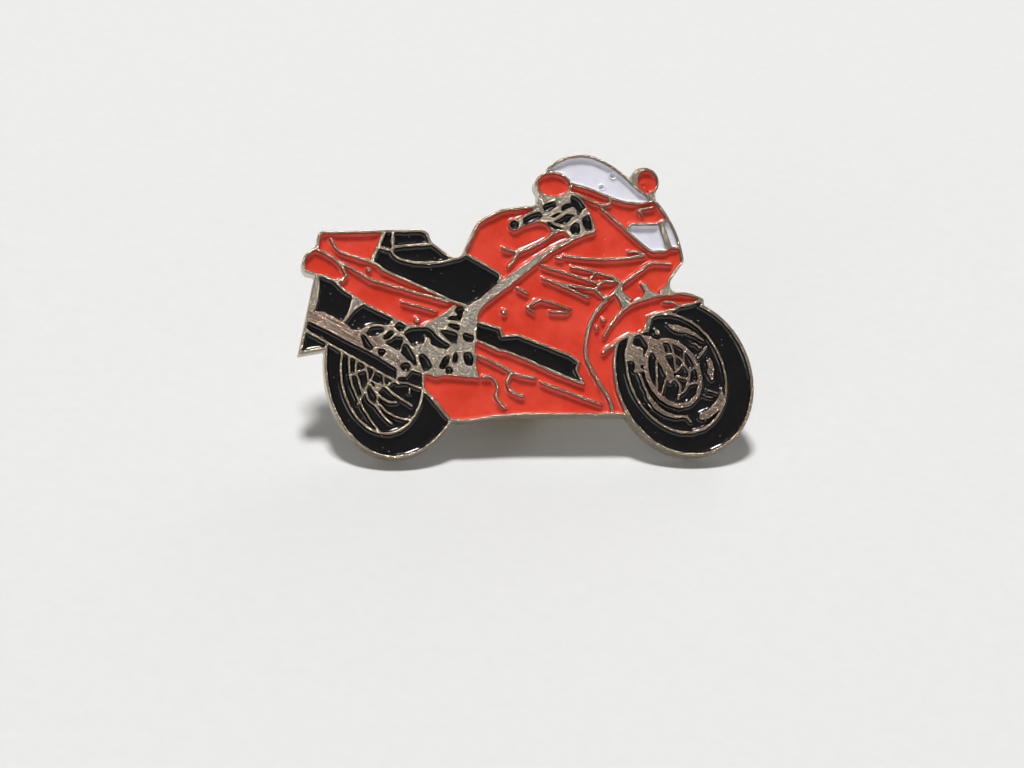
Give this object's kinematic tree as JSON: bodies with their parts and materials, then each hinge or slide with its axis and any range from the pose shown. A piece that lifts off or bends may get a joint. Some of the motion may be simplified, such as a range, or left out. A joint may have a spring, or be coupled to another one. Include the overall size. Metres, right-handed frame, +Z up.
{
  "type": "enamel lapel pin",
  "caption": "Struck metal lapel pin in the outline of a sport motorcycle, with red, black and white enamel, a post on its back and a sliding butterfly clutch.",
  "frame": {"origin": "centre of the bounding box on the table under the pin", "axes": "+X along the wheels' foot line towards the front wheel, +Z up, the badge's face towards -Y and up, leaning back on the clutch"},
  "size_m": [0.0308, 0.015, 0.0161],
  "materials": {
    "nickel": "nickel plating over a struck, sandy ground, bright on the raised lines",
    "red_enamel": "soft enamel, glossy, sunk below the metal lines",
    "black_enamel": "soft enamel, glossy, sunk below the metal lines",
    "white_enamel": "soft enamel, glossy, sunk below the metal lines",
    "post_steel": "plated steel",
    "clutch_brass": "bare stamped brass"
  },
  "bodies": {
    "badge": {"plate": "nickel", "enamel_cockpit": "black_enamel", "enamel_cowl": "red_enamel", "enamel_engine": "black_enamel", "enamel_fairing": "red_enamel", "enamel_far_mirror": "red_enamel", "enamel_front_fender": "red_enamel", "enamel_front_tyre": "black_enamel", "enamel_front_wheel": "black_enamel", "enamel_headlamps": "white_enamel", "enamel_near_mirror": "red_enamel", "enamel_pillion_pad": "black_enamel", "enamel_plate_panel": "black_enamel", "enamel_rear_tyre": "black_enamel", "enamel_rear_wheel": "black_enamel", "enamel_screen_strip": "red_enamel", "enamel_seat": "black_enamel", "enamel_side_stripe": "black_enamel", "enamel_silencer_shadow": "black_enamel", "enamel_tail_lamp": "red_enamel", "enamel_tail_side": "red_enamel", "enamel_tail_top": "red_enamel", "enamel_tank": "red_enamel", "enamel_under_tail": "black_enamel", "enamel_vents": "red_enamel", "enamel_windscreen": "white_enamel", "post": "post_steel"},
    "clutch": {"clutch_cap": "clutch_brass", "clutch_spring": "clutch_brass"}
  },
  "joints": [
    {"name": "clutch_slide", "type": "slide", "parent": "badge", "child": "clutch", "axis": [0, 0.7342, -0.6789], "range_m": [0, 0.009]}
  ]
}
